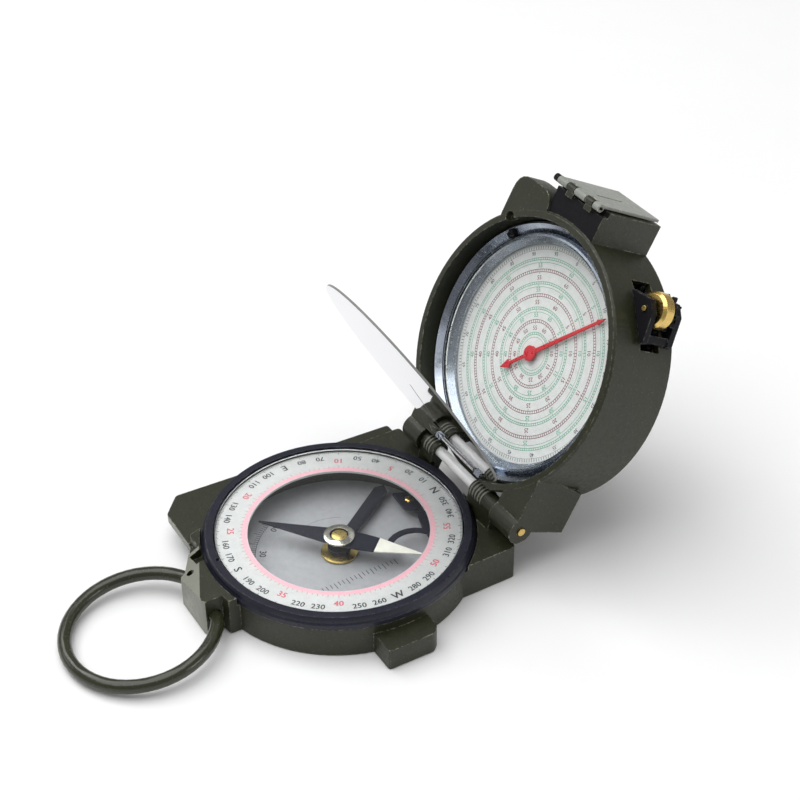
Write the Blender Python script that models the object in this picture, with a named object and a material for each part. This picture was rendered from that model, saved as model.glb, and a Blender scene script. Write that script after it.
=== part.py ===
"""Pocket geology compass: base with needle chamber, map-measurer lid, mirror leaf and thumb ring.

Frame: X runs along the lid hinge, Y from the thumb ring to the hinge, Z up.
The origin is the centre of the base's underside, below the needle pivot.
"""

import math

import bmesh
import bpy
from mathutils import Matrix, Vector

MM = 0.001
GAP = 0.3  # clearance between pieces that touch in the real object
RUN = 0.1  # radial clearance of a pin in its bearing

# Base, in millimetres
CASE_R = 29.6
CASE_TOP = 7.2
CHAMBER_R = 25.6
CHAMBER_FLOOR = 1.0
COLLAR_R = 27.0
COLLAR_TOP = 7.9
EDGE_X = 29.3  # straight ruler edge on the left
EDGE_THICK = 1.9
BLOCK_X = 24.5  # hinge-side block
BLOCK_Y = 30.0
BLOCK_TOP = 8.6
LUG_HALF = 9.5  # thumb-ring lug
LUG_Y = 35.6
LUG_TOP = 9.2
SIDE_LUG_X = 35.0

# Bezel, glass and scale
BEZEL_IN = 27.3
BEZEL_TOP_R = 29.0
BEZEL_R = 29.9
BEZEL_Z = (7.5, 10.2)
GLASS_Z = (9.1, 9.8)
SCALE_IN = 19.9
SCALE_Z = (8.2, 8.7)

# Needle and clinometer
NEEDLE_ANGLE = math.radians(41.9)
NEEDLE_LEN = 18.8
NEEDLE_HALF = 2.8
NEEDLE_Z = (6.0, 6.3)
HUB_R = 3.5
PENDULUM_ANGLE = math.radians(124.0)
PENDULUM_LEN = 22.0
PENDULUM_Z = (3.3, 4.1)
BOSS_R = 4.1

# Hinge
HINGE_Y = 30.7
HINGE_Z = 12.8
KNUCKLE_R = 2.1
KNUCKLES = ((-12.5, -7.5), (7.5, 16.8))
EARS = ((-19.0, -12.8), (17.1, 25.0))
EAR_R = 3.1
ROD_R = 1.2
PIN_R = 0.9

# Lid, measured in the lid's own frame: y from the hinge axis towards the free end, z out of the rim
LID_TILT = math.radians(61.6)
LID_C = 30.6
LID_R = 31.0
RIM_Z = 2.16
RIM_IN = 29.2
LID_BACK = -16.5
LID_FLOOR = -15.0
CUP_R = 29.4
STEP_Z = -6.3
DIAL_R = 28.9
DIAL_Z = (-6.0, -5.5)
RING_IN = 24.4
SCREW_R = 27.3
HAND_ANGLE = math.radians(48.2)
SIGHT_AXIS = (67.9, 2.0)
BLOCK_KNUCKLES = ((-5.0, -2.7), (1.5, 3.8))

# Map-measurer gear train: 10:40 twice, so 16 wheel turns make one hand turn
MODULE = 0.68
PINION_TEETH = 10
GEAR_TEETH = 40
WHEEL_R = 3.98  # 25 mm round
WHEEL_DIR = math.radians(45.5)
CENTRE_DIST = MODULE * (PINION_TEETH + GEAR_TEETH) / 2
BIG_Z = (-10.8, -9.9)
LOW_Z = (-7.9, -6.9)
PLATE_Z = (-12.8, -11.8)

# Mirror leaf, hinged to the lid's steel ring
MIRROR_Y = 3.9
MIRROR_Z = 1.6
MIRROR_OPEN = math.radians(56.1)
MIRROR_R = 27.2
MIRROR_C = 27.2
MIRROR_T = 0.5

# Thumb ring
WIRE_R = 1.5
RING_R = 16.1
RING_PIVOT = (-33.3, 4.5)
RING_SIDE = 7.4
RING_DROOP = math.radians(-5.4)

for old in list(bpy.data.objects):
    bpy.data.objects.remove(old, do_unlink=True)

MATERIALS = {}


def material(name, colour, metallic=0.0, roughness=0.5):
    made = bpy.data.materials.new(name)
    made.use_nodes = True
    shader = made.node_tree.nodes["Principled BSDF"]
    shader.inputs["Base Color"].default_value = (*colour, 1.0)
    shader.inputs["Metallic"].default_value = metallic
    shader.inputs["Roughness"].default_value = roughness
    made.diffuse_color = (*colour, 1.0)
    MATERIALS[name] = made
    return made


def empty(name, location=(0, 0, 0), parent=None, tilt=0.0):
    made = bpy.data.objects.new(name, None)
    bpy.context.scene.collection.objects.link(made)
    made.parent = parent
    made.location = Vector(location) * MM
    made.rotation_euler = (tilt, 0, 0)
    return made


def add(name, bm, mat=None, parent=None):
    """A new object from a bmesh in millimetres, placed in its parent's frame."""
    bmesh.ops.recalc_face_normals(bm, faces=bm.faces)
    bmesh.ops.scale(bm, vec=(MM, MM, MM), verts=bm.verts)
    mesh = bpy.data.meshes.new(name)
    bm.to_mesh(mesh)
    bm.free()
    made = bpy.data.objects.new(name, mesh)
    bpy.context.scene.collection.objects.link(made)
    made.parent = parent
    if mat:
        mesh.materials.append(MATERIALS[mat])
    else:
        made.hide_render = True
        made.display_type = "WIRE"
    return made


def extrude_into(bm, outline, z0, z1, frame=None):
    frame = frame or Matrix.Identity(4)
    low = [bm.verts.new(frame @ Vector((x, y, z0))) for x, y in outline]
    high = [bm.verts.new(frame @ Vector((x, y, z1))) for x, y in outline]
    bm.faces.new(low[::-1])
    bm.faces.new(high)
    for i in range(len(outline)):
        j = (i + 1) % len(outline)
        bm.faces.new((low[i], low[j], high[j], high[i]))


def prism(outline, z0, z1, frame=None):
    bm = bmesh.new()
    extrude_into(bm, outline, z0, z1, frame)
    return bm


def box(x0, x1, y0, y1, z0, z1):
    return prism([(x0, y0), (x1, y0), (x1, y1), (x0, y1)], z0, z1)


def circle(radius, steps=48, cx=0.0, cy=0.0, start=0.0):
    turn = 2 * math.pi / steps
    return [
        (cx + radius * math.cos(start + i * turn), cy + radius * math.sin(start + i * turn))
        for i in range(steps)
    ]


def disc(radius, z0, z1, cx=0.0, cy=0.0, steps=48):
    return prism(circle(radius, steps, cx, cy), z0, z1)


def lathe(profile, cx=0.0, cy=0.0, steps=64):
    """A closed (radius, z) loop turned round a vertical axis."""
    bm = bmesh.new()
    rings = []
    for i in range(steps):
        turn = 2 * math.pi * i / steps
        c, s = math.cos(turn), math.sin(turn)
        rings.append([bm.verts.new((cx + r * c, cy + r * s, z)) for r, z in profile])
    count = len(profile)
    for i in range(steps):
        a, b = rings[i], rings[(i + 1) % steps]
        for k in range(count):
            m = (k + 1) % count
            bm.faces.new((a[k], b[k], b[m], a[m]))
    return bm


def spindle(profile, cx=0.0, cy=0.0, steps=32):
    """A solid turned piece: (radius, z) from bottom to top, closed by flat ends."""
    bm = bmesh.new()
    rings = []
    for r, z in profile:
        rings.append([bm.verts.new((x, y, z)) for x, y in circle(r, steps, cx, cy)])
    bm.faces.new(rings[0][::-1])
    bm.faces.new(rings[-1])
    for low, high in zip(rings, rings[1:]):
        for i in range(steps):
            j = (i + 1) % steps
            bm.faces.new((low[i], low[j], high[j], high[i]))
    return bm


def along_x(radius, x0, x1, y, z, steps=32):
    """A cylinder whose axis runs along X."""
    bm = bmesh.new()
    ends = []
    for x in (x0, x1):
        ends.append(
            [bm.verts.new((x, y + a, z + b)) for a, b in circle(radius, steps)]
        )
    bm.faces.new(ends[0][::-1])
    bm.faces.new(ends[1])
    for i in range(steps):
        j = (i + 1) % steps
        bm.faces.new((ends[0][i], ends[0][j], ends[1][j], ends[1][i]))
    return bm


def side_prism(outline, x0, x1):
    """An outline in the YZ plane pulled along X."""
    frame = Matrix(((0, 0, 1, 0), (1, 0, 0, 0), (0, 1, 0, 0), (0, 0, 0, 1)))
    return prism(outline, x0, x1, frame)


def turned(bm, matrix):
    bmesh.ops.transform(bm, matrix=matrix, verts=bm.verts)
    return bm


def combine(target, operation, pieces, parent=None):
    for i, bm in enumerate(pieces):
        tool = add(f"{target.name}_{operation.lower()}_{i}", bm, None, parent)
        modifier = target.modifiers.new(f"{operation.title()}{i}", "BOOLEAN")
        modifier.operation = operation
        modifier.solver = "EXACT"
        modifier.object = tool
    return target


def rounded(outline, radius, steps=4):
    """The outline with each corner replaced by an arc of up to the radius."""
    out = []
    count = len(outline)
    for i in range(count):
        p = Vector(outline[i])
        a = Vector(outline[i - 1]) - p
        b = Vector(outline[(i + 1) % count]) - p
        reach = min(radius, a.length / 2.2, b.length / 2.2)
        start = p + a.normalized() * reach
        end = p + b.normalized() * reach
        for k in range(steps + 1):
            t = k / steps
            q = start * (1 - t) ** 2 + p * 2 * t * (1 - t) + end * t**2
            out.append((q.x, q.y))
    return out


# --------------------------------------------------------------------------- base


def base_case():
    body = add("base_case", disc(CASE_R, 0, CASE_TOP, steps=96), "olive")
    edge = rounded(
        [(-EDGE_X - 1.5, -24.8), (-EDGE_X + 3.4, -29.2), (-12, -29.4), (-12, 29), (-EDGE_X + 1, 29)], 0.6, 2
    )
    block = [(-BLOCK_X, 15), (BLOCK_X, 15), (BLOCK_X, BLOCK_Y), (-BLOCK_X, BLOCK_Y)]
    lug = [
        (-LUG_HALF, -22), (-LUG_HALF, -30.4), (-6.0, -31.3), (-6.0, -35.2), (-5.2, -LUG_Y),
        (5.2, -LUG_Y), (6.0, -35.2), (6.0, -31.3), (LUG_HALF - 1.2, -30.9), (LUG_HALF - 1.2, -22),
    ]
    flange = [(-17, -22), (-15, -28.5), (-10.2, -31.4), (-4.2, -LUG_Y + 0.01), (0, -30), (0, -22)]
    side = rounded([(24, -7.9), (SIDE_LUG_X - 0.2, -7.9), (SIDE_LUG_X, 2.8), (SIDE_LUG_X - 1.6, 4.6),
                    (24, 4.6)], 0.8, 3)
    web = [(HINGE_Y + 2.0, HINGE_Z), (HINGE_Y - 2.0, HINGE_Z), (HINGE_Y - 3.6, 6.5), (29.6, 6.5)]
    joined = [
        prism(edge, CASE_TOP - EDGE_THICK, CASE_TOP + 0.02),
        prism(rounded(block, 1.0, 3), 0.01, BLOCK_TOP),
        prism(lug, 0.02, LUG_TOP),
        prism(flange, 6.3, LUG_TOP + 0.01),
        prism(side, 0.03, 5.2),
        disc(COLLAR_R, 4, COLLAR_TOP, steps=96),
    ]
    for x0, x1 in KNUCKLES:
        joined.append(along_x(KNUCKLE_R, x0, x1, HINGE_Y, HINGE_Z))
        joined.append(side_prism(web, x0 + 0.01, x1 - 0.01))
    combine(body, "UNION", joined)
    moat = lathe(
        [(COLLAR_R + 0.02, CASE_TOP + 0.02), (BEZEL_R + GAP, CASE_TOP + 0.02),
         (BEZEL_R + GAP, 10.55), (COLLAR_R + 0.02, 10.55)],
        steps=96,
    )
    above = lathe(
        [(0.5, COLLAR_TOP + 0.02), (COLLAR_R + 0.5, COLLAR_TOP + 0.02), (COLLAR_R + 0.5, 10.5), (0.5, 10.5)],
        steps=96,
    )
    slope = turned(side_prism([(-14, 6.9), (-4.06, 6.9), (0, LUG_TOP + 0.02), (0, 12), (-14, 12)], -3.2, 20),
                   Matrix.Translation((-7.8, -29.9, 0)) @ Matrix.Rotation(math.radians(-24.8), 4, "Z"))
    cuts = [
        lathe([(0.5, 12), (0.5, CHAMBER_FLOOR), (CHAMBER_R, CHAMBER_FLOOR), (CHAMBER_R, 12)], steps=96),
        disc(1.0, CHAMBER_FLOOR, 12, steps=16),
        moat,
        above,
        slope,
        box(-14.4, -10.6, -32.0, -28.9, 6.9, 12),
        box(-9.6, -5.9, -31.4, -28.4, 6.9, 12),
        disc(0.8, 2.5, 12, -5.0, -33.4, 16),
    ]
    for sign in (-1, 1):
        x0, x1 = sorted((sign * 3.4, sign * 14.0))
        cuts.append(along_x(WIRE_R + RUN, x0, x1, *RING_PIVOT, 24))
        x0, x1 = sorted((sign * 3.0, sign * 20.0))
        cuts.append(along_x(ROD_R + RUN, x0, x1, HINGE_Y, HINGE_Z, 24))
    combine(body, "DIFFERENCE", cuts)
    return body


def chamber_parts():
    floor_z = CHAMBER_FLOOR + GAP
    add(
        "base_dial",
        lathe([(1.9, floor_z), (25.2, floor_z), (25.2, floor_z + 0.4), (1.9, floor_z + 0.4)]),
        "dial_grey",
    )
    add("pivot_boss", spindle([(1.6, floor_z), (1.6, 2.0), (BOSS_R, 2.0), (BOSS_R, 2.4), (3.6, 2.6)]), "brass")
    add("pivot_post", spindle([(1.3, 2.9), (1.3, 3.05), (0.55, 3.2), (0.45, 5.4), (0.12, 6.0)], steps=20), "steel")
    scale = [(SCALE_IN, SCALE_Z[0]), (COLLAR_R, SCALE_Z[0]), (COLLAR_R, SCALE_Z[1]), (SCALE_IN, SCALE_Z[1])]
    add("scale_ring", lathe(scale, steps=96), "white")


def pendulum_parts(pivot):
    turn = Matrix.Rotation(PENDULUM_ANGLE, 4, "Z")
    arm = [(2.0, -1.3), (PENDULUM_LEN - 1, -1.6), (PENDULUM_LEN + 0.6, 0), (PENDULUM_LEN - 1, 1.6), (2.0, 1.3)]
    body = add("pendulum", turned(prism(arm, *PENDULUM_Z), turn), "black", pivot)
    low, high = PENDULUM_Z
    ring = [(0.65, low - 0.01), (2.6, low - 0.01), (2.6, high + 0.01), (0.65, high + 0.01)]
    combine(body, "UNION", [lathe(ring, steps=32)], pivot)


def needle_parts(pivot):
    turn = Matrix.Rotation(NEEDLE_ANGLE, 4, "Z")
    half = NEEDLE_HALF
    blade = [(-NEEDLE_LEN, 0.15), (-NEEDLE_LEN, -0.15), (0, -half), (5, -half * 0.95), (8.7, -2.3),
             (NEEDLE_LEN, -0.15), (NEEDLE_LEN, 0.15), (8.7, 2.3), (5, half * 0.95), (0, half)]
    body = add("needle_blade", turned(prism(blade, *NEEDLE_Z), turn), "black", pivot)
    combine(body, "DIFFERENCE", [disc(1.4, 5, 8, steps=24)], pivot)
    low = NEEDLE_Z[1] + GAP
    hub = [(2.05, low), (HUB_R, low), (HUB_R, low + 0.35), (3.1, low + 0.6), (2.05, low + 0.6)]
    add("needle_hub", lathe(hub, steps=40), "nickel", pivot)
    add("needle_jewel", spindle([(1.1, 6.15), (1.1, low), (1.75, low), (1.75, low + 0.3), (1.3, low + 0.6)]),
        "brass", pivot)


def lifter_parts(pivot):
    """The needle lifter and the bracket that carries it, near the hinge side of the chamber."""
    y0 = 20.3
    plate = rounded([(-8.4, 18.3), (-2.0, 17.9), (-0.6, 20.2), (-1.6, 25.0), (-5.6, 24.4)], 0.5, 2)
    add("lock_bracket", prism(plate, 4.5, 4.9), "black")
    stem = [(0.45, 4.35), (0.45, 5.2), (1.05, 5.25), (1.05, 5.5), (0.7, 5.7)]
    rivet = spindle(stem, -4.0, y0, 20)
    add("lock_rivet", rivet, "brass")
    bracket = bpy.data.objects["lock_bracket"]
    combine(bracket, "DIFFERENCE", [disc(0.75, 4, 6, -4.0, y0, 20)])
    points = []
    for k in range(9):
        t = math.radians(-62 + 118 * k / 8)
        points.append((10.6 - 5.4 * math.cos(t), 13.3 + 5.4 * math.sin(t)))
    outer = [(10.6 - 6.8 * math.cos(t), 13.3 + 6.8 * math.sin(t))
             for t in [math.radians(-62 + 118 * k / 8) for k in range(9)]]
    hook = points + [(12.4, 16.9), (13.2, 19.2), (7.6, 20.6), (0.9, 21.8), (0.2, 19.6), (5.6, 17.9)] + outer[::-1][1:]
    local = [(x, y - y0) for x, y in hook]
    add("needle_lifter", turned(prism(local, 4.6, 5.0), Matrix.Translation((0, 0, -4.8))), "black", pivot)


def bezel_parts():
    low, high = BEZEL_Z
    ring = [(BEZEL_IN, low), (BEZEL_R, low), (BEZEL_R, low + 1.1), (BEZEL_R - 0.35, low + 1.5),
            (BEZEL_R - 0.35, low + 1.8), (BEZEL_TOP_R, high), (BEZEL_IN, high)]
    body = add("bezel_ring", lathe(ring, steps=120), "blueblack")
    notch = turned(box(-0.5, 0.5, 26, 28.1, 9.4, 12), Matrix.Rotation(math.radians(172.7), 4, "Z"))
    combine(body, "DIFFERENCE", [notch])
    add("bezel_glass", disc(BEZEL_IN - GAP, *GLASS_Z, steps=96), "glass")


def hinge_parts():
    add("hinge_rod", along_x(ROD_R, -9.0, 10.6, HINGE_Y, HINGE_Z, 24), "steel")
    for x0, x1, name in ((-19.8, -9.4, "hinge_pin_left"), (11.2, 25.4, "hinge_pin_right")):
        add(name, along_x(PIN_R, x0, x1, HINGE_Y, HINGE_Z, 20), "brass")


def thumb_ring(pivot):
    """A round wire bent into a C, its two ends turned inwards into the lug."""
    centre = -math.sqrt(RING_R**2 - RING_SIDE**2)
    start = math.atan2(-centre, RING_SIDE)
    path = [Vector((3.8, 0, 0)), Vector((RING_SIDE - 1.0, 0, 0))]
    steps = 44
    sweep = 2 * math.pi - 2 * (math.pi / 2 - start)
    for i in range(steps + 1):
        t = start - sweep * i / steps
        path.append(Vector((RING_R * math.cos(t), centre + RING_R * math.sin(t), 0)))
    path.append(Vector((1.0 - RING_SIDE, 0, 0)))
    path.append(Vector((-3.8, 0, 0)))
    bm = bmesh.new()
    rings = []
    for i, point in enumerate(path):
        before = path[max(i - 1, 0)]
        after = path[min(i + 1, len(path) - 1)]
        ahead = (after - before).normalized()
        side = ahead.cross(Vector((0, 0, 1)))
        rings.append(
            [bm.verts.new(point + side * a + Vector((0, 0, b))) for a, b in circle(WIRE_R, 14)]
        )
    bm.faces.new(rings[0])
    bm.faces.new(rings[-1][::-1])
    for a, b in zip(rings, rings[1:]):
        for k in range(14):
            m = (k + 1) % 14
            bm.faces.new((a[k], a[m], b[m], b[k]))
    add("thumb_ring", turned(bm, Matrix.Rotation(-RING_DROOP, 4, "X")), "olive_gloss", pivot)


# --------------------------------------------------------------------------- lid


def lid_case(lid):
    body = add("lid_case", turned(spindle(
        [(LID_R - 1.0, LID_BACK), (LID_R, LID_BACK + 1.0), (LID_R, RIM_Z - 0.5), (LID_R - 0.4, RIM_Z)],
        steps=96), Matrix.Translation((0, LID_C, 0))), "olive", lid)
    top = LID_C + LID_R
    ear = rounded([(-20.6, 50), (-20.6, 64.3), (-8.0, 64.3), (-8.0, 50)], 4.2, 5)
    block = [(-8.6, 56), (7.4, 56), (7.4, 67.75), (-8.6, 67.75)]
    joined = [
        prism(ear, -3.0, RIM_Z - 0.02),
        prism(block, -15.6, RIM_Z - 0.5),
    ]
    for x0, x1 in EARS:
        joined.append(along_x(EAR_R, x0, x1, 0, 0, 32))
        joined.append(side_prism([(0, -EAR_R + 0.01), (0.6, -12.1), (10.6, -12.1), (14, RIM_Z - 0.03),
                                  (0, RIM_Z - 0.03)], x0 + 0.01, x1 - 0.01))
    combine(body, "UNION", joined, lid)
    wx, wy = wheel_axis()
    slot = turned(box(27.8, 40, -7.7, 7.7, -11.4, -5.7),
                  Matrix.Translation((0, LID_C, 0)) @ Matrix.Rotation(WHEEL_DIR, 4, "Z"))
    cuts = [
        turned(lathe([(0.5, 8), (0.5, LID_FLOOR), (CUP_R, LID_FLOOR), (CUP_R, STEP_Z), (RIM_IN, STEP_Z),
                      (RIM_IN, 8)], steps=96), Matrix.Translation((0, LID_C, 0))),
        disc(1.0, LID_FLOOR, 8, 0, LID_C, 16),
        disc(14.5, -11.1, -9.6, *idler_axis(), 64),
        box(-9.0, 8.0, 66.5, 72, 0.3, 6),
        box(-12.65, 17.05, -4, 2.75, -3.0, 6),
        box(-9.3, 9.3, -4, 5.3, -1.7, 6),
        slot,
        disc(1.3, 0.4, 6, -17.6, 54.4, 20),
        along_x(PIN_R + RUN, -30, 30, 0, 0, 20),
    ]
    combine(body, "DIFFERENCE", cuts, lid)
    knuckles, bores = [], [along_x(0.4, -8.5, 7.5, *SIGHT_AXIS, 12)]
    for x, y, t in screw_places():
        boss = (x + 0.6 * math.cos(t), y + 0.6 * math.sin(t))
        knuckles.append(disc(1.75, BIG_Z[1] + 0.4, STEP_Z + 0.05, *boss, 20))
        knuckles.append(disc(1.6, LID_FLOOR - 0.3, PLATE_Z[0] - 0.3, 0.88 * x, LID_C + 0.88 * (y - LID_C), 16))
        bores.append(disc(0.5 + RUN, -8.7, 0, x, y, 16))
    for x0, x1 in BLOCK_KNUCKLES:
        knuckles.append(along_x(0.9, x0, x1, *SIGHT_AXIS, 16))
        knuckles.append(box(x0 + 0.01, x1 - 0.01, 65.8, 67.8, -1.0, SIGHT_AXIS[1] + 0.3))
    combine(body, "UNION", knuckles, lid)
    combine(body, "DIFFERENCE", bores, lid)
    return top, wx, wy


def screw_places():
    """Three screws round the lid's steel ring, as x, y and the direction out from the middle."""
    turns = [math.radians(134 + 120 * k) for k in range(3)]
    return [(SCREW_R * math.cos(t), LID_C + SCREW_R * math.sin(t), t) for t in turns]


def wheel_axis():
    return (2 * CENTRE_DIST * math.cos(WHEEL_DIR), LID_C + 2 * CENTRE_DIST * math.sin(WHEEL_DIR))


def lid_face_parts(lid):
    at = Matrix.Translation((0, LID_C, 0))
    ring = [(RING_IN, -5.2), (28.9, -5.2), (28.9, -1.9), (28.4, -1.6), (26.5, -3.2), (26.2, -2.0),
            (25.7, -1.9), (25.6, -3.2), (RING_IN, -4.5)]
    body = add("lid_ring", turned(lathe(ring, steps=96), at), "bluesteel", lid)
    lugs = [box(s - 1.0, s + 1.0, 3.05, 4.8, -3.9, RIM_Z + 0.1) for s in (-7.9, 7.9)]
    combine(body, "UNION", lugs, lid)
    cuts = [along_x(0.4, -9.4, 9.4, MIRROR_Y, MIRROR_Z, 16)]
    cuts += [disc(1.15, -6, 3, x, y, 20) for x, y, _ in screw_places()]
    combine(body, "DIFFERENCE", cuts, lid)
    for k, (x, y, _) in enumerate(screw_places()):
        head = spindle([(0.5, -8.3), (0.5, -4.0), (1.05, -3.8), (1.05, -1.7), (0.8, -1.3)], x, y, 20)
        screw = add(f"ring_screw_{k + 1}", head, "black", lid)
        groove = turned(box(-1.4, 1.4, -0.16, 0.16, -1.65, 1), Matrix.Translation((x, y, 0)))
        combine(screw, "DIFFERENCE", [groove], lid)
    add("lid_glass", turned(disc(25.3, -2.9, -2.3, steps=72), at), "glass", lid)
    dial = add("lid_dial", turned(disc(DIAL_R, *DIAL_Z, steps=96), at), "white", lid)
    holes = [disc(0.95, -7, -3, 0, LID_C, 20)]
    holes += [disc(0.9, -7, -3, x, y, 16) for x, y, _ in screw_places()]
    combine(dial, "DIFFERENCE", holes, lid)


def gear_outline(teeth, cx, cy, phase):
    """Involute teeth with a wide backlash, so the meshing gears turn freely."""
    pitch_r = MODULE * teeth / 2
    base_r = pitch_r * math.cos(math.radians(20))
    tip_r = pitch_r + 0.8 * MODULE
    root_r = pitch_r - 1.1 * MODULE
    half = 0.38 * math.pi * MODULE / pitch_r / 2 * 1.0

    def involute(r):
        if r <= base_r:
            return 0.0
        a = math.acos(base_r / r)
        return math.tan(a) - a

    def half_angle(r):
        return half + involute(pitch_r) - involute(r)

    out = []
    for k in range(teeth):
        mid = phase + 2 * math.pi * k / teeth
        radii = [root_r, max(base_r, root_r + 0.02), pitch_r, tip_r]
        left = [(r, mid - half_angle(r)) for r in radii]
        right = [(r, mid + half_angle(r)) for r in radii[::-1]]
        for r, t in left + right:
            out.append((cx + r * math.cos(t), cy + r * math.sin(t)))
    return out


def gear_parts(lid, hand_at, idler_at, wheel_at):
    """Each gear sits on its own arbor; tooth faces tooth gap along the line of centres."""
    gear_half = math.pi / GEAR_TEETH
    hand = add("hand_gear", prism(gear_outline(GEAR_TEETH, 0, 0, WHEEL_DIR + gear_half), *LOW_Z), "brass", hand_at)
    shaft = spindle([(0.4, -12.6), (0.4, -11.5), (1.6, -11.5), (1.6, -6.7), (0.6, -6.7), (0.6, -5.1), (0.45, -5.1)],
                    steps=20)
    combine(hand, "UNION", [shaft], hand_at)
    idler = add("idler_gear", prism(gear_outline(GEAR_TEETH, 0, 0, WHEEL_DIR + gear_half), *BIG_Z), "black", idler_at)
    toward = WHEEL_DIR + math.pi
    pinion = prism(gear_outline(PINION_TEETH, 0, 0, toward), BIG_Z[1] - 0.3, LOW_Z[1] + 0.1)
    shaft = spindle([(0.4, -12.6), (0.4, -11.5), (0.8, -11.5), (0.8, -6.5), (0.4, -6.5), (0.4, -6.3)], steps=20)
    combine(idler, "UNION", [pinion, shaft], idler_at)
    arbor = add("wheel_pinion", prism(gear_outline(PINION_TEETH, 0, 0, toward), -11.1, -9.75), "black", wheel_at)
    shaft = spindle([(0.6, -13.4), (0.6, -3.7)], steps=20)
    combine(arbor, "UNION", [shaft], wheel_at)
    rim = [(0.95, -9.45), (WHEEL_R - 0.6, -9.45), (WHEEL_R, -8.85), (WHEEL_R, -6.6), (WHEEL_R - 0.6, -6.0),
           (0.95, -6.0)]
    add("tracing_wheel", lathe(rim, steps=48), "brass", wheel_at)
    plate = add("gear_plate", turned(disc(28.9, *PLATE_Z, steps=72), Matrix.Translation((0, LID_C, 0))),
                "brass", lid)
    ix, iy = idler_axis()
    holes = [disc(0.4 + RUN, -14, -8, 0, LID_C, 16), disc(0.4 + RUN, -14, -8, ix, iy, 16)]
    combine(plate, "DIFFERENCE", holes, lid)


def idler_axis():
    return (CENTRE_DIST * math.cos(WHEEL_DIR), LID_C + CENTRE_DIST * math.sin(WHEEL_DIR))


def wheel_fork(lid):
    """Two ears either side of the slot carry the wheel's arbor."""
    ear = [(31.3, -7.0), (32.2, -7.0), (35.9, -1.6), (36.0, 1.4), (35.0, 2.2), (31.3, 5.2)]
    at = Matrix.Translation((0, LID_C, 0)) @ Matrix.Rotation(WHEEL_DIR, 4, "Z")
    body = add("wheel_fork", turned(prism(ear, -5.5, -4.1), at), "black", lid)
    far = turned(prism(ear, -13.1, -11.5), at)
    bridge = turned(prism([(31.6, -6.7), (32.1, -6.7), (33.0, -5.3), (31.6, -5.3)], -12.7, -4.5), at)
    combine(body, "UNION", [far, bridge], lid)
    x, y = wheel_axis()
    combine(body, "DIFFERENCE", [disc(0.6 + RUN, -15, 0, x, y, 20)], lid)


def hand_parts(hand_at):
    turn = Matrix.Rotation(HAND_ANGLE, 4, "Z")
    low, high = -4.85, -4.55
    long = [(0, -0.55), (20.4, -0.32), (20.6, -0.62), (23.0, 0), (20.6, 0.62), (20.4, 0.32), (0, 0.55)]
    tail = [(0, 0.45), (-6.6, 0.35), (-6.9, 1.0), (-9.8, 0), (-6.9, -1.0), (-6.6, -0.35), (0, -0.45)]
    body = add("hand", turned(prism(long, low, high), turn), "red", hand_at)
    joined = [turned(prism(tail, low - 0.01, high + 0.01), turn), disc(1.75, low - 0.02, high + 0.25, steps=32)]
    combine(body, "UNION", joined, hand_at)


def mirror_parts(mirror):
    """The leaf lies along its own Y, its pivot on the local X axis."""
    half = MIRROR_T / 2
    body = add("mirror_leaf", disc(MIRROR_R, -half, half, 0, MIRROR_C, 96), "mirror", mirror)
    combine(body, "UNION", [along_x(0.8, -6.4, 6.4, 0, 0, 20)], mirror)
    cuts = [box(-0.35, 0.35, 2.0, MIRROR_C, -2, 2), along_x(0.4, -7, 7, 0, 0, 16)]
    cuts += [box(min(a, b), max(a, b), -3, 1.6, -2, 2) for a, b in ((-6.6, -30), (6.6, 30))]
    combine(body, "DIFFERENCE", cuts, mirror)
    add("mirror_pin", along_x(0.3, -8.7, 8.7, 0, 0, 12), "steel", mirror)


def front_sight(sight, lid):
    """A folding leaf on the end block, hinged at its rim-side edge."""
    body = add("front_sight", box(-8.5, 6.0, 0.15, 0.75, -17.7, 0.2), "grey", sight)
    knuckles = [along_x(0.9, a, b, 0, 0, 16) for a, b in ((-8.5, -5.3), (-2.4, 1.2), (4.1, 6.0))]
    combine(body, "UNION", knuckles, sight)
    cuts = [along_x(0.4, -10, 10, 0, 0, 12), box(-0.9, -0.3, -1, 2, -12.0, -4.0)]
    cuts += [box(a - 0.3, b + 0.3, -1, 2, -1.3, 1.0) for a, b in BLOCK_KNUCKLES]
    combine(body, "DIFFERENCE", cuts, sight)
    pin = add("sight_pin", along_x(0.3, -9.4, 6.3, 0, 0, 10), "black", sight)
    combine(pin, "UNION", [along_x(0.85, -9.9, -8.8, 0, 0, 16)], sight)


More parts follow.
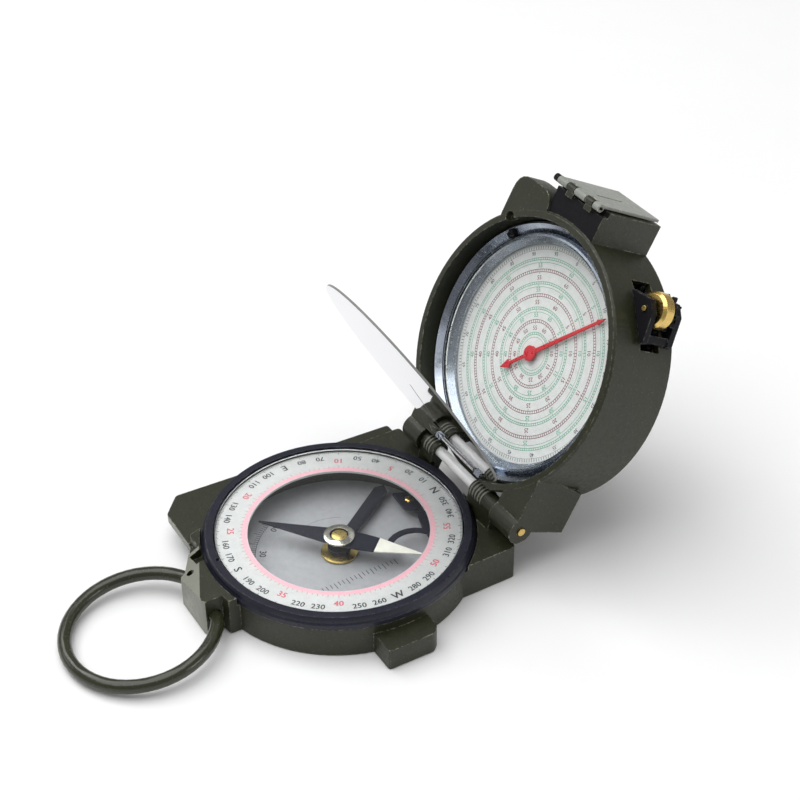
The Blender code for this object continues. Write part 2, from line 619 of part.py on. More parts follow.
def build():
    material("olive", (0.075, 0.085, 0.045), 0.2, 0.45)
    material("olive_gloss", (0.06, 0.07, 0.045), 0.3, 0.3)
    material("blueblack", (0.02, 0.022, 0.035), 0.5, 0.35)
    material("black", (0.015, 0.015, 0.017), 0.3, 0.45)
    material("white", (0.85, 0.85, 0.83), 0.0, 0.5)
    material("dial_grey", (0.55, 0.56, 0.57), 0.1, 0.4)
    material("brass", (0.72, 0.52, 0.18), 1.0, 0.3)
    material("steel", (0.75, 0.75, 0.74), 1.0, 0.2)
    material("nickel", (0.7, 0.68, 0.6), 1.0, 0.25)
    material("bluesteel", (0.35, 0.4, 0.48), 1.0, 0.3)
    material("mirror", (0.85, 0.86, 0.9), 1.0, 0.05)
    material("glass", (0.9, 0.95, 0.95), 0.0, 0.02)
    material("red", (0.5, 0.03, 0.04), 0.1, 0.4)
    material("grey", (0.2, 0.21, 0.19), 0.5, 0.4)

    base_case()
    chamber_parts()
    pendulum_parts(empty("pendulum_pivot"))
    needle_parts(empty("needle_pivot"))
    lifter_parts(empty("lifter_pivot", (0, 20.3, 4.8)))
    bezel_parts()
    hinge_parts()
    thumb_ring(empty("ring_pivot", (0, *RING_PIVOT)))

    lid = empty("lid_pivot", (0, HINGE_Y, HINGE_Z), None, LID_TILT)
    lid_case(lid)
    lid_face_parts(lid)
    hand_at = empty("hand_pivot", (0, LID_C, 0), lid)
    idler_at = empty("idler_pivot", (*idler_axis(), 0), lid)
    wheel_at = empty("wheel_pivot", (*wheel_axis(), 0), lid)
    gear_parts(lid, hand_at, idler_at, wheel_at)
    wheel_fork(lid)
    hand_parts(hand_at)
    mirror_parts(empty("mirror_pivot", (0, MIRROR_Y, MIRROR_Z), lid, MIRROR_OPEN))
    front_sight(empty("sight_pivot", (0, *SIGHT_AXIS), lid), lid)


build()
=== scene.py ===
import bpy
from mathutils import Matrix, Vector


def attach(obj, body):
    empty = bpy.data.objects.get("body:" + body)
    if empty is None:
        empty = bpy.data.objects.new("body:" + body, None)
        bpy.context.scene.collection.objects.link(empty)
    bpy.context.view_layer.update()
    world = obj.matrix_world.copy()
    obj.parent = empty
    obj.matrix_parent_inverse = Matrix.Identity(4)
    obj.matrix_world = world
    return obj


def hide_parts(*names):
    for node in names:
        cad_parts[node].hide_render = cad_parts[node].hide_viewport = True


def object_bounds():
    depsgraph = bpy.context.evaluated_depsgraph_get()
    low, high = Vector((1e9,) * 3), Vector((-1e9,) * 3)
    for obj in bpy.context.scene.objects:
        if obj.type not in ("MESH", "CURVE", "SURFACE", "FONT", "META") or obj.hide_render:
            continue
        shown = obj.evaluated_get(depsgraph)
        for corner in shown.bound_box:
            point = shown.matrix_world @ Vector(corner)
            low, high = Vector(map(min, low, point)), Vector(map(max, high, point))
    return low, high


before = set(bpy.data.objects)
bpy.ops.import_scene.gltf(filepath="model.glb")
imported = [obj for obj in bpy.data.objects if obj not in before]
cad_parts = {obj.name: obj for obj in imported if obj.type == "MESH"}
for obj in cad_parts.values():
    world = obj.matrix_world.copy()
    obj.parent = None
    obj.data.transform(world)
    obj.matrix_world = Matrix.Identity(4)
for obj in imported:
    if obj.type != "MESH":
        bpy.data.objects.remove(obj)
cad_box = [[float(v) for v in corner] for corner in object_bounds()]

import math

import bmesh
import bpy
from mathutils import Matrix, Vector

# Lengths are in millimetres and turn into metres through MM.
MM = 0.001

# Hinge between base and lid, and how far the lid leans back
HINGE_Y, HINGE_Z = 30.7, 12.8
LID_LEAN = math.radians(61.6)
LID_DIAL_Y = 30.6
LEAF_LEAN = math.radians(56.1)

# Heights of the printed surfaces: base scale, chamber floor, and lid dial from its own plane
SCALE_Z = 8.715
FLOOR_Z = 1.712
MEASURER_Z = -5.485
INK_STEP = 0.002

# Needle
NEEDLE_TURN = math.radians(41.9)
TIP_START = 8.7

# Arbor of the tracing wheel in the lid
WHEEL_TURN = math.radians(45.5)
WHEEL_OUT = 34.0
ARBOR_R = 0.9

# Ribs turned on the hinge knuckles
RIB_STEP = 1.0
RIB_FOOT, RIB_CREST = 0.36, 0.2
RIB_LOW, RIB_HIGH, RIB_INSIDE = 2.09, 2.24, 1.9
RIB_SIDES = 40

BASE = Matrix.Identity(4)
LID = Matrix.Translation((0, HINGE_Y * MM, HINGE_Z * MM)) @ Matrix.Rotation(LID_LEAN, 4, "X")
LID_DIAL = LID @ Matrix.Translation((0, LID_DIAL_Y * MM, 0))
NEEDLE = Matrix.Rotation(NEEDLE_TURN, 4, "Z")


# --------------------------------------------------------------------------- materials


class Look:
    """A Principled material with short helpers for its procedural nodes."""

    def __init__(self, name, colour, metallic=0.0, roughness=0.5, **fixed):
        self.mat = bpy.data.materials.new(name)
        self.mat.use_nodes = True
        self.nodes = self.mat.node_tree.nodes
        self.links = self.mat.node_tree.links
        self.shader = self.nodes["Principled BSDF"]
        self.out = self.nodes["Material Output"]
        self.shader.inputs["Base Color"].default_value = (*colour, 1)
        self.shader.inputs["Metallic"].default_value = metallic
        self.shader.inputs["Roughness"].default_value = roughness
        for key, value in fixed.items():
            self.shader.inputs[key.replace("_", " ")].default_value = value
        self.place = self.nodes.new("ShaderNodeTexCoord").outputs["Object"]

    def link(self, source, target):
        self.links.new(source, self.shader.inputs[target] if isinstance(target, str) else target)

    def noise(self, size_mm, detail=3.0, roughness=0.55, stretch=None):
        node = self.nodes.new("ShaderNodeTexNoise")
        node.inputs["Scale"].default_value = 1000.0 / size_mm
        node.inputs["Detail"].default_value = detail
        node.inputs["Roughness"].default_value = roughness
        place = self.place
        if stretch:
            mapping = self.nodes.new("ShaderNodeMapping")
            mapping.inputs["Scale"].default_value = stretch
            self.link(place, mapping.inputs["Vector"])
            place = mapping.outputs["Vector"]
        self.link(place, node.inputs["Vector"])
        return node.outputs["Fac"]

    def band(self, value, low, high, to_low=0.0, to_high=1.0):
        node = self.nodes.new("ShaderNodeMapRange")
        node.inputs["From Min"].default_value = low
        node.inputs["From Max"].default_value = high
        node.inputs["To Min"].default_value = to_low
        node.inputs["To Max"].default_value = to_high
        self.link(value, node.inputs["Value"])
        return node.outputs["Result"]

    def times(self, a, b):
        node = self.nodes.new("ShaderNodeMath")
        node.operation = "MULTIPLY"
        self.link(a, node.inputs[0])
        self.link(b, node.inputs[1])
        return node.outputs[0]

    def blend(self, factor, first, second):
        node = self.nodes.new("ShaderNodeMix")
        node.data_type = "RGBA"
        self.link(factor, node.inputs["Factor"])
        for socket, value in ((node.inputs["A"], first), (node.inputs["B"], second)):
            if isinstance(value, tuple):
                socket.default_value = (*value, 1)
            else:
                self.link(value, socket)
        return node.outputs["Result"]

    def bump(self, height, depth_mm, strength=1.0, rounding_mm=0.0):
        node = self.nodes.new("ShaderNodeBump")
        node.inputs["Strength"].default_value = strength
        node.inputs["Distance"].default_value = depth_mm * MM
        self.link(height, node.inputs["Height"])
        if rounding_mm:
            self.link(self.rounded(rounding_mm), node.inputs["Normal"])
        self.link(node.outputs["Normal"], "Normal")

    def rounded(self, radius_mm):
        node = self.nodes.new("ShaderNodeBevel")
        node.samples = 6
        node.inputs["Radius"].default_value = radius_mm * MM
        return node.outputs["Normal"]

    def edge(self, radius_mm, low=0.02, high=0.2):
        """1 along the sharp edges of the piece, 0 on its open faces."""
        geometry = self.nodes.new("ShaderNodeNewGeometry")
        dot = self.nodes.new("ShaderNodeVectorMath")
        dot.operation = "DOT_PRODUCT"
        self.link(self.rounded(radius_mm), dot.inputs[0])
        self.link(geometry.outputs["Normal"], dot.inputs[1])
        return self.band(dot.outputs["Value"], 1 - low, 1 - high)


def paint(name, colour, light, wear_and_highlight, roughness=0.5, wear=0.5, speck=0.6, grain=0.35, shine=0.5):
    """Enamel over cast metal: cloudy colour, fine orange-peel grain, bright specks and rubbed edges."""
    look = Look(name, colour, 0.0, roughness, Specular_IOR_Level=shine)
    cloud = look.band(look.noise(9.0), 0.35, 0.7)
    tone = look.blend(cloud, colour, tuple(c * 1.22 for c in colour))
    grainy = look.noise(grain, 2.0, 0.6)
    specks = look.band(grainy, 0.62, 0.76, 0.0, speck)
    tone = look.blend(specks, tone, light)
    rub = look.times(look.edge(0.45), look.band(look.noise(1.1, 5.0, 0.75), 0.48, 0.6, 0.0, wear))
    look.link(look.blend(rub, tone, wear_and_highlight), "Base Color")
    look.link(look.band(rub, 0.0, 1.0, 0.0, 0.7), "Metallic")
    look.link(look.band(look.noise(0.8), 0.3, 0.7, roughness - 0.09, roughness + 0.1), "Roughness")
    look.bump(grainy, 0.05, 0.55, 0.25)
    return look.mat


def metal(name, colour, roughness, dark=0.75, brush=None, scratch=0.01, rounding=0.15,
          size=0.5, bare=1.0):
    """Bare metal: tool marks or brushing, a little tarnish and uneven polish."""
    look = Look(name, colour, bare, roughness)
    tarnish = look.band(look.noise(4.0, 4.0), 0.4, 0.75)
    look.link(look.blend(tarnish, colour, tuple(c * dark for c in colour)), "Base Color")
    marks = look.noise(size, 3.0, 0.6, brush)
    look.link(look.band(marks, 0.3, 0.7, roughness * 0.7, roughness * 1.35), "Roughness")
    look.bump(marks, scratch, 0.5, rounding)
    return look.mat


def printed(name, colour, variation=0.93, roughness=0.45):
    """A painted dial or ink: a faint mottling and a slightly uneven gloss."""
    look = Look(name, colour, 0.0, roughness)
    mottle = look.band(look.noise(1.5, 4.0), 0.35, 0.7)
    look.link(look.blend(mottle, colour, tuple(c * variation for c in colour)), "Base Color")
    fine = look.noise(0.25, 2.0)
    look.link(look.band(fine, 0.3, 0.7, roughness - 0.08, roughness + 0.08), "Roughness")
    look.bump(fine, 0.004, 0.3)
    return look.mat


def crystal(name):
    """Clear glass that lets lamplight through to the dial behind it."""
    look = Look(name, (0.97, 0.985, 0.98), 0.0, 0.015, IOR=1.45, Transmission_Weight=1.0)
    look.bump(look.noise(14.0, 1.0), 0.006, 0.2)
    ray = look.nodes.new("ShaderNodeLightPath")
    clear = look.nodes.new("ShaderNodeBsdfTransparent")
    mix = look.nodes.new("ShaderNodeMixShader")
    look.link(ray.outputs["Is Shadow Ray"], mix.inputs[0])
    look.link(look.shader.outputs[0], mix.inputs[1])
    look.link(clear.outputs[0], mix.inputs[2])
    look.link(mix.outputs[0], look.out.inputs["Surface"])
    return look.mat


def make_materials():
    made = {
        "olive": paint("olive_paint", (0.0175, 0.0192, 0.0080), (0.22, 0.22, 0.15), (0.62, 0.60, 0.46),
                       0.42, 0.6, 0.28, 0.4, 0.46),
        "olive_gloss": paint("olive_gloss_paint", (0.024, 0.026, 0.013), (0.09, 0.09, 0.06),
                             (0.4, 0.38, 0.3), 0.2, 0.2, 0.25, 0.6),
        "blueblack": paint("blue_black_finish", (0.011, 0.012, 0.022), (0.05, 0.05, 0.07),
                           (0.3, 0.3, 0.34), 0.36, 0.35, 0.25, 0.3, 0.35),
        # Blackened steel for the ring screws, wheel fork and sight pin; the same near-black is also
        # painted shade on the lid block's front face and on the idler gear and pinion teeth.
        "black": paint("blackened_steel_and_painted_shade", (0.007, 0.007, 0.009), (0.06, 0.06, 0.07),
                       (0.35, 0.34, 0.32), 0.5, 0.4, 0.15, 0.3, 0.12),
        "blade": paint("needle_blue_black", (0.008, 0.009, 0.018), (0.02, 0.02, 0.04),
                       (0.2, 0.2, 0.24), 0.38, 0.2, 0.1, 0.3, 0.25),
        "grey": paint("worn_grey_paint", (0.23, 0.24, 0.215), (0.62, 0.62, 0.58),
                      (0.6, 0.58, 0.5), 0.42, 0.9, 0.75, 0.5),
        "white": printed("dial_white", (0.56, 0.57, 0.565)),
        "paper": printed("measurer_dial_white", (0.66, 0.67, 0.655), 0.92),
        "lume": printed("luminous_white", (0.86, 0.85, 0.76), 0.9, 0.55),
        "dial_grey": printed("silvered_floor", (0.40, 0.405, 0.425), 0.9, 0.34),
        "ink": printed("black_ink", (0.03, 0.03, 0.035), 0.8),
        "ink_red": printed("red_ink", (0.62, 0.12, 0.17), 0.9),
        "ink_pink": printed("pink_ink", (0.80, 0.42, 0.48), 0.95),
        "ink_wine": printed("wine_ink", (0.20, 0.04, 0.06), 0.9),
        "ink_green": printed("green_ink", (0.09, 0.38, 0.24), 0.9),
        "red": paint("red_enamel", (0.48, 0.012, 0.02), (0.62, 0.05, 0.05), (0.7, 0.2, 0.2),
                     0.32, 0.2, 0.2, 0.4),
        "brass": metal("turned_brass", (0.78, 0.55, 0.18), 0.26, 0.8, (1, 1, 6), 0.003),
        "old_brass": metal("dull_brass", (0.66, 0.50, 0.17), 0.32, 0.75, None, 0.002),
        "steel": metal("polished_steel", (0.86, 0.86, 0.85), 0.12, 0.92, (0.2, 6, 6)),
        # Painted reflection: only partly metallic over a near-white base, so the hinge rod and mirror
        # pin look white as if reflecting the white surroundings; the brushing is real.
        "rod_steel": metal("brushed_rod_with_painted_reflection", (0.97, 0.97, 0.96), 0.5, 0.97, (0.2, 6, 6), bare=0.35),
        # Pale paint used only as painted highlight: on the lug nose's slope and front-left side and on
        # the knuckle rib crests, where light glances off the real object.
        "wear_and_highlight": paint("pale_painted_highlight", (0.19, 0.195, 0.16), (0.42, 0.42, 0.36), (0.62, 0.6, 0.5),
                      0.4, 0.5, 0.5, 0.4),
        "nickel": metal("nickel_plate", (0.74, 0.72, 0.62), 0.18, 0.8, (1, 1, 5)),
        "bluesteel": metal("blue_grey_steel", (0.38, 0.42, 0.48), 0.22, 0.85, None, 0.0012, 0.1, 0.9),
        "mirror": metal("mirror_steel", (0.66, 0.66, 0.695), 0.03, 0.985, None, 0.0006, 0.0, 6.0),
        "leaf_edge": paint("mirror_edge", (0.20, 0.20, 0.19), (0.32, 0.32, 0.30), (0.45, 0.45, 0.42),
                           0.5, 0.1, 0.3, 0.6, 0.3),
        "glass": crystal("clear_crystal"),
    }
    floor = Look("pale_floor", (0.93, 0.93, 0.93), 0.0, 0.7)
    patch = floor.band(floor.noise(60.0), 0.3, 0.7)
    floor.link(floor.blend(patch, (0.93, 0.93, 0.93), (0.915, 0.915, 0.92)), "Base Color")
    made["floor"] = floor.mat
    return made


MATS = make_materials()


# --------------------------------------------------------------------------- mesh helpers


def piece(name, bm, material, body, at=BASE):
    """A finished mesh object that rides on a CAD body."""
    mesh = bpy.data.meshes.new(name)
    bm.transform(at)
    bm.to_mesh(mesh)
    bm.free()
    made = bpy.data.objects.new(name, mesh)
    bpy.context.scene.collection.objects.link(made)
    for one in material if isinstance(material, (list, tuple)) else [material]:
        mesh.materials.append(MATS[one])
    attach(made, body)
    return made


def finished(node, body, material, angle=28.0, edit=None):
    """The CAD node's shape, welded and smoothed over its facets, standing for that node."""
    bm = bmesh.new()
    bm.from_mesh(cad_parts[node].data)
    bmesh.ops.remove_doubles(bm, verts=bm.verts, dist=3e-6)
    bmesh.ops.dissolve_limit(bm, angle_limit=math.radians(0.8), verts=bm.verts, edges=bm.edges)
    if edit:
        edit(bm)
    for face in bm.faces:
        face.smooth = True
    for one in bm.edges:
        one.smooth = one.is_manifold and one.calc_face_angle(0.0) < math.radians(angle)
    made = piece(node + "_finish", bm, material, body)
    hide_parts(node)


def quad(bm, points, z):
    return bm.faces.new([bm.verts.new((x, y, z)) for x, y in points])


def tick(bm, angle, inner, outer, width, z):
    """A thin printed line along a radius, in millimetres."""
    c, s = math.cos(angle), math.sin(angle)
    h = width / 2
    quad(bm, [(inner * c + h * s, inner * s - h * c), (outer * c + h * s, outer * s - h * c),
              (outer * c - h * s, outer * s + h * c), (inner * c - h * s, inner * s + h * c)], z)


def hoop(bm, radius, width, z, steps=120, start=0.0, sweep=2 * math.pi):
    """A printed circle or arc of the given line width."""
    lo, hi = radius - width / 2, radius + width / 2
    closed = abs(sweep - 2 * math.pi) < 1e-6
    count = steps if closed else steps + 1
    rows = []
    for i in range(count):
        t = start + sweep * i / steps
        rows.append([bm.verts.new((r * math.cos(t), r * math.sin(t), z)) for r in (lo, hi)])
    for i in range(steps):
        a, b = rows[i], rows[(i + 1) % count]
        bm.faces.new((a[0], a[1], b[1], b[0]))


GLYPHS = {}


def glyph(text):
    """Triangles of a short printed number, centred on its middle, one unit high."""
    if text not in GLYPHS:
        curve = bpy.data.curves.new("glyph", "FONT")
        curve.body = text
        curve.align_x = "CENTER"
        curve.align_y = "CENTER"
        curve.resolution_u = 2
        holder = bpy.data.objects.new("glyph", curve)
        bpy.context.scene.collection.objects.link(holder)
        bpy.context.view_layer.update()
        mesh = holder.evaluated_get(bpy.context.evaluated_depsgraph_get()).to_mesh()
        mesh.calc_loop_triangles()
        points = [tuple(v.co) for v in mesh.vertices]
        high = max(p[1] for p in points) - min(p[1] for p in points)
        mid = (max(p[1] for p in points) + min(p[1] for p in points)) / 2
        points = [(p[0] / high, (p[1] - mid) / high) for p in points]
        GLYPHS[text] = points, [tuple(t.vertices) for t in mesh.loop_triangles]
        bpy.data.objects.remove(holder)
        bpy.data.curves.remove(curve)
    return GLYPHS[text]


def stamp(bm, text, radius, angle, size, z, inward=True, bold=0.0):
    """A number printed round a dial, its top towards the centre when inward."""
    points, triangles = glyph(text)
    turn = angle + (math.pi / 2 if inward else -math.pi / 2)
    c, s = math.cos(turn), math.sin(turn)
    cx, cy = radius * math.cos(angle), radius * math.sin(angle)
    shifts = [(0, 0)] if not bold else [(-bold, 0), (bold, 0), (0, bold)]
    for dx, dy in shifts:
        verts = []
        for x, y in points:
            x, y = x * size + dx, y * size + dy
            verts.append(bm.verts.new((cx + x * c - y * s, cy + x * s + y * c, z)))
        for tri in triangles:
            bm.faces.new([verts[k] for k in tri])
        z += INK_STEP


def printing(name, bm, material, body, at):
    """Ink on a dial, drawn in millimetres and lying just above the surface."""
    bm.transform(Matrix.Scale(MM, 4))
    bmesh.ops.recalc_face_normals(bm, faces=bm.faces)
    bm.faces.ensure_lookup_table()
    for face in bm.faces:
        if face.normal.z < 0:
            face.normal_flip()
    piece(name, bm, material, body, at)


# --------------------------------------------------------------------------- base


def compass_scale():
    """360 degree scale read anticlockwise from the hinge; red numbers count hundreds of mils."""
    z = SCALE_Z
    black, red, pink = bmesh.new(), bmesh.new(), bmesh.new()
    zero = math.radians(90.7)
    tick_end, border_at, letter_at, number_at, red_at = 26.95, 26.97, 24.7, 24.75, 23.6
    pink_at, pink_wide, mil_start = 20.55, 1.05, 21.0
    for degree in range(360):
        angle = zero + math.radians(degree)
        inner = 26.0 if degree % 10 == 0 else 26.25 if degree % 5 == 0 else 26.45
        tick(black, angle, inner, tick_end, 0.15, z)
    hoop(black, border_at, 0.06, z, 180)
    names = {0: "N", 90: "E", 180: "S", 270: "W"}
    for degree in range(0, 360, 10):
        angle = zero + math.radians(degree)
        if degree in names:
            stamp(black, names[degree], letter_at, angle, 1.75, z, True, 0.07)
        elif degree % 30 == 0:
            stamp(red, str(degree // 6), red_at, angle, 1.5, z, True, 0.06)
        else:
            stamp(black, str(degree), number_at, angle, 1.4, z, True, 0.05)
    hoop(pink, pink_at, pink_wide, z, 144)
    for step in range(120):
        angle = zero + 2 * math.pi * step / 120
        outer = 22.0 if step % 10 == 0 else 21.75 if step % 2 == 0 else 21.45
        tick(red, angle, mil_start, outer, 0.1, z + INK_STEP)
    printing("scale_black", black, "ink", "base", BASE)
    printing("scale_red", red, "ink_red", "base", BASE)
    printing("scale_pink", pink, "ink_pink", "base", BASE)


def floor_scale():
    """Clinometer arc and a row of short divisions printed on the floor of the chamber."""
    z = FLOOR_Z
    ink = bmesh.new()
    arc_at, number_at, row_at, row_start = 18.6, 16.9, 8.0, -9.0
    for half in range(-30, 31):
        angle = math.radians(-90 + 2 * half)
        outer = 19.6 if half % 5 else 20.4
        tick(ink, angle, arc_at, outer, 0.13, z)
    hoop(ink, arc_at, 0.1, z, 60, math.radians(-150), math.radians(120))
    for k in range(-2, 3):
        stamp(ink, str(abs(k * 30)), number_at, math.radians(-90 + 30 * k), 1.5, z, True, 0.03)
    for k in range(19):
        y = row_start + k
        end = 9.3 if k % 3 else 9.9
        quad(ink, [(row_at, y), (end, y), (end, y + 0.16), (row_at, y + 0.16)], z)
    for radius in (7.0, 12.0):
        hoop(ink, radius, 0.07, z, 60, math.radians(150), math.radians(50))
    printing("floor_marks", ink, "ink", "base", BASE)


def needle_finish(bm):
    """Splits the blade where its white tip starts and gives the tip its own finish."""
    along = NEEDLE.to_3x3() @ Vector((1, 0, 0))
    everything = bm.verts[:] + bm.edges[:] + bm.faces[:]
    bmesh.ops.bisect_plane(bm, geom=everything, plane_co=along * TIP_START * MM, plane_no=along)
    for face in bm.faces:
        if face.calc_center_median().dot(along) > TIP_START * MM and face.normal.z > -0.5:
            face.material_index = 1


def rubbed_lug(bm):
    """The nose that carries the thumb ring is painted pale where it slopes and at its front-left side:
    painted highlight for the light glancing off those faces.
    """
    out = Vector((-0.419, -0.908, 0))
    for face in bm.faces:
        middle = face.calc_center_median() / MM
        faces_out = face.normal.dot(out)
        slope = faces_out > 0.4 and middle.y < -29.5 and -15.5 < middle.x < 5.8
        side = faces_out > 0.3 and middle.y < -26.0 and middle.x < -15.5 and middle.z > 6.0
        if slope or side:
            face.material_index = 1


def knuckle_ribs(name, first, count):
    """Fine ribs turned round a hinge knuckle, one millimetre apart, their crests painted pale as painted
    highlight.
    """
    bm = bmesh.new()
    profile = [(first - RIB_FOOT, RIB_INSIDE)]
    for k in range(count):
        middle = first + k * RIB_STEP
        profile += [(middle - RIB_FOOT, RIB_LOW), (middle - RIB_CREST, RIB_HIGH),
                    (middle + RIB_CREST, RIB_HIGH), (middle + RIB_FOOT, RIB_LOW)]
    profile.append((profile[-1][0], RIB_INSIDE))
    around = [2 * math.pi * k / RIB_SIDES for k in range(RIB_SIDES)]
    rings = []
    for x, radius in profile:
        rings.append([bm.verts.new((x * MM, (HINGE_Y + radius * math.cos(a)) * MM,
                                    (HINGE_Z + radius * math.sin(a)) * MM)) for a in around])
    for (one, two), (start, end) in zip(zip(rings, rings[1:]), zip(profile, profile[1:])):
        crest = start[1] == end[1] == RIB_HIGH
        for k in range(RIB_SIDES):
            face = bm.faces.new((one[k], one[k - 1], two[k - 1], two[k]))
            # Crest faces take the pale paint: painted highlight.
            face.material_index = int(crest)
    bm.faces.new(rings[0])
    bm.faces.new(rings[-1][::-1])
    bmesh.ops.recalc_face_normals(bm, faces=bm.faces)
    piece(name, bm, ["olive", "wear_and_highlight"], "base")


def base_looks():
    finished("base_case", "base", ["olive", "wear_and_highlight"], 28, rubbed_lug)
    finished("bezel_ring", "bezel", "blueblack", 40)
    finished("bezel_glass", "bezel", "glass")
    finished("base_dial", "base", "dial_grey")
    finished("scale_ring", "base", "white")
    finished("pivot_boss", "base", "old_brass")
    finished("pivot_post", "base", "steel")
    finished("lock_bracket", "base", "blade")
    finished("lock_rivet", "base", "brass")
    finished("needle_lifter", "lifter", "blade", 40)
    finished("pendulum", "clinometer", "blade")
    finished("needle_blade", "needle", ["blade", "lume"], 28, needle_finish)
    finished("needle_hub", "needle", "nickel", 40)
    finished("needle_jewel", "needle", "old_brass", 40)
    finished("thumb_ring", "ring", "olive_gloss", 50)
    finished("hinge_rod", "base", "rod_steel")
    finished("hinge_pin_left", "base", "brass")
    finished("hinge_pin_right", "base", "brass")
    knuckle_ribs("knuckle_ribs_left", -10.9, 3)
    knuckle_ribs("knuckle_ribs_right", 8.3, 5)
    compass_scale()
    floor_scale()


# --------------------------------------------------------------------------- lid


# Ink, radius and number of divisions of each ladder, from the middle outwards
LADDERS = (
    ("green", 4.3, 24), ("wine", 7.0, 36), ("green", 9.9, 48), ("wine", 12.7, 60),
    ("green", 15.5, 72), ("wine", 18.2, 90), ("green", 20.9, 96),
)


def measurer_scales():
    """Distance scales of the map measurer: ladders of ticks round the dial, each with its numbers."""
    z = MEASURER_Z
    inks = {"green": bmesh.new(), "wine": bmesh.new(), "black": bmesh.new()}
    for colour, radius, ticks in LADDERS:
        ink = inks[colour]
        wide = 0.62 if colour == "wine" else 0.5
        hoop(ink, radius, 0.12, z, 120)
        hoop(ink, radius + wide, 0.12, z, 120)
        for k in range(ticks * 2):
            tick(ink, 2 * math.pi * k / (ticks * 2), radius, radius + wide, 0.15, z)
        if colour == "green":
            hoop(ink, radius - 0.62, 0.1, z, 120)
        every = 8 if radius < 6 else 12
        for k in range(every):
            angle = math.radians(90) - 2 * math.pi * k / every
            if radius > 6:
                tick(ink, angle, radius - 0.5, radius, 0.1, z)
                stamp(ink, str((k or every) * 5), radius - 1.25, angle, 0.95, z, False, 0.015)
    black = inks["black"]
    rim_ticks, rim_numbers = 200, 20
    tick_end, border_at, number_at = 23.95, 23.2, 22.4
    for k in range(rim_ticks):
        inner = 23.0 if k % 10 == 0 else 23.3
        tick(black, 2 * math.pi * k / rim_ticks, inner, tick_end, 0.13, z)
    hoop(black, border_at, 0.06, z, 144)
    for k in range(rim_numbers):
        angle = math.radians(90) - 2 * math.pi * k / rim_numbers
        stamp(black, str(k * 5), number_at, angle, 0.85, z, False, 0.01)
    printing("measurer_green", inks["green"], "ink_green", "lid", LID_DIAL)
    printing("measurer_wine", inks["wine"], "ink_wine", "lid", LID_DIAL)
    printing("measurer_black", black, "ink", "lid", LID_DIAL)


def block_front(bm):
    """The end block's front face is painted black: painted shade standing in for the shadowed recess in
    the real block.
    """
    out = LID.to_3x3() @ Vector((0, 0, 1))
    back = LID.inverted()
    for face in bm.faces:
        middle = back @ face.calc_center_median() / MM
        in_block = middle.y > 60.0 and abs(middle.x) < 8.6 and middle.z < 1.8
        if in_block and face.normal.dot(out) > 0.9:
            face.material_index = 1


def leaf_edge(bm):
    """The leaf's cut edge and slit are ground rather than polished."""
    along = LID.to_3x3() @ Matrix.Rotation(LEAF_LEAN, 3, "X") @ Vector((0, 0, 1))
    for face in bm.faces:
        if abs(face.normal.dot(along)) < 0.5:
            face.material_index = 1


def arbor_end(bm):
    """The wheel's arbor is brass; the pinion teeth on it are painted black, painted shade that reads as
    the shadow behind the tracing wheel.
    """
    axis = Matrix.Rotation(WHEEL_TURN, 4, "Z") @ Vector((WHEEL_OUT * MM, 0, 0))
    back = LID_DIAL.inverted()
    for face in bm.faces:
        away = back @ face.calc_center_median() - axis
        if math.hypot(away.x, away.y) < ARBOR_R * MM:
            face.material_index = 1


def lid_looks():
    finished("lid_case", "lid", ["olive", "black"], 28, block_front)
    finished("lid_ring", "lid", "bluesteel", 20)
    for k in range(3):
        finished(f"ring_screw_{k + 1}", "lid", "black")
    finished("lid_glass", "lid", "glass")
    finished("lid_dial", "lid", "paper")
    finished("gear_plate", "lid", "brass")
    finished("wheel_fork", "lid", "black")
    finished("hand", "measurer_hand", "red")
    finished("hand_gear", "measurer_hand", "brass")
    # Painted shade: the idler gear is painted black so it reads as the shadow behind the tracing wheel.
    finished("idler_gear", "idler", "black")
    finished("wheel_pinion", "wheel", ["black", "brass"], 28, arbor_end)
    finished("tracing_wheel", "wheel", "brass", 35)
    finished("mirror_leaf", "mirror", ["mirror", "leaf_edge"], 28, leaf_edge)
    finished("mirror_pin", "lid", "rod_steel")
    finished("front_sight", "sight", "grey")
    finished("sight_pin", "lid", "black")
    measurer_scales()


# --------------------------------------------------------------------------- stage, lights and camera


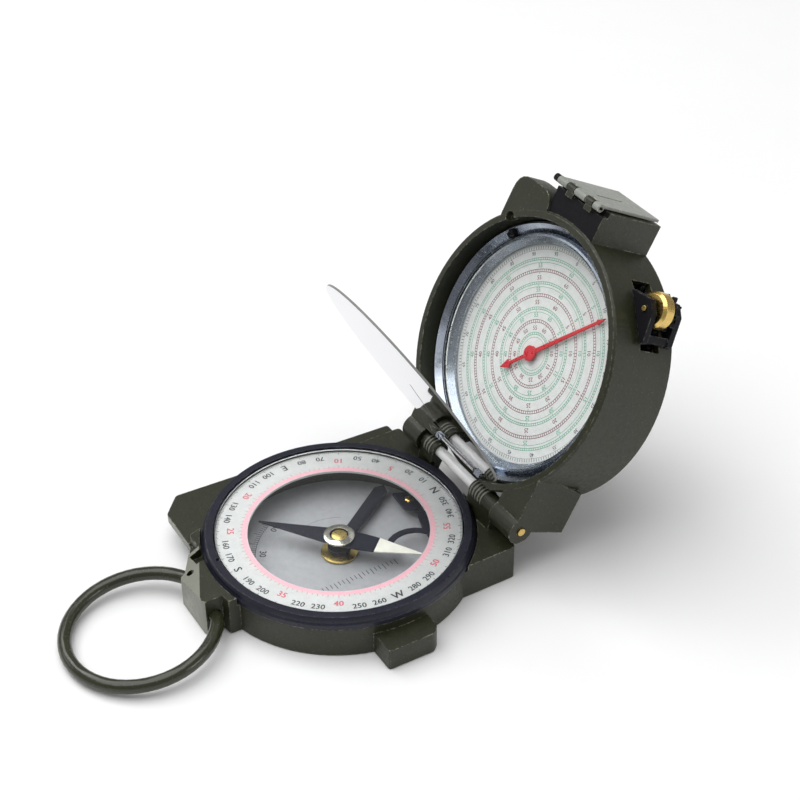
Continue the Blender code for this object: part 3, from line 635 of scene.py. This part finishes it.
def area_light(name, at, aim, size, power):
    data = bpy.data.lights.new(name, "AREA")
    data.shape = "RECTANGLE"
    data.size, data.size_y = size
    data.energy = power
    lamp = bpy.data.objects.new(name, data)
    lamp.location = at
    lamp.rotation_euler = (Vector(aim) - Vector(at)).to_track_quat("-Z", "Y").to_euler()
    bpy.context.scene.collection.objects.link(lamp)


def stage():
    """A wide plain floor just under the object."""
    bm = bmesh.new()
    gap, half = 0.0002, 2.5
    low = cad_box[0][2] - gap
    quad(bm, [(-half, -half), (half, -half), (half, half), (-half, half)], min(low, -gap))
    mesh = bpy.data.meshes.new("floor")
    bm.to_mesh(mesh)
    bm.free()
    floor = bpy.data.objects.new("floor", mesh)
    bpy.context.scene.collection.objects.link(floor)
    mesh.materials.append(MATS["floor"])


def lights():
    """A weak even surround and four soft boxes; places and sizes are in metres."""
    world = bpy.data.worlds.new("studio")
    world.use_nodes = True
    back = world.node_tree.nodes["Background"]
    back.inputs["Color"].default_value = (1.0, 1.0, 1.0, 1)
    back.inputs["Strength"].default_value = 0.33
    bpy.context.scene.world = world
    area_light("overhead_softbox", (-0.12, -0.18, 1.0), (0, 0.03, 0.02), (1.1, 1.1), 9.9)
    area_light("left_softbox", (-0.95, -0.28, 0.95), (0, 0.0, 0.02), (0.55, 0.55), 3.0)
    area_light("low_left_softbox", (-0.75, -0.75, 0.45), (0, 0, 0.02), (0.3, 0.3), 0.45)
    area_light("side_softbox", (0.75, 0.55, 0.3), (0, 0.04, 0.04), (0.4, 0.3), 1.3)


def camera():
    """Long lens at the height and bearing of the reference view."""
    at = Vector((257.07, -136.09, 260.53)) * MM
    aim = Vector((-26.36, 31.39, 15.0)) * MM
    data = bpy.data.cameras.new("view")
    data.sensor_width = 36
    data.lens = 79.18
    data.clip_start = 0.01
    made = bpy.data.objects.new("view", data)
    turn = (aim - at).to_track_quat("-Z", "Y").to_matrix().to_4x4()
    made.matrix_world = Matrix.Translation(at) @ turn @ Matrix.Rotation(math.radians(-0.58), 4, "Z")
    bpy.context.scene.collection.objects.link(made)
    bpy.context.scene.camera = made


base_looks()
lid_looks()
stage()
lights()
camera()
bpy.context.scene.view_settings.view_transform = "Standard"
bpy.context.view_layer.update()
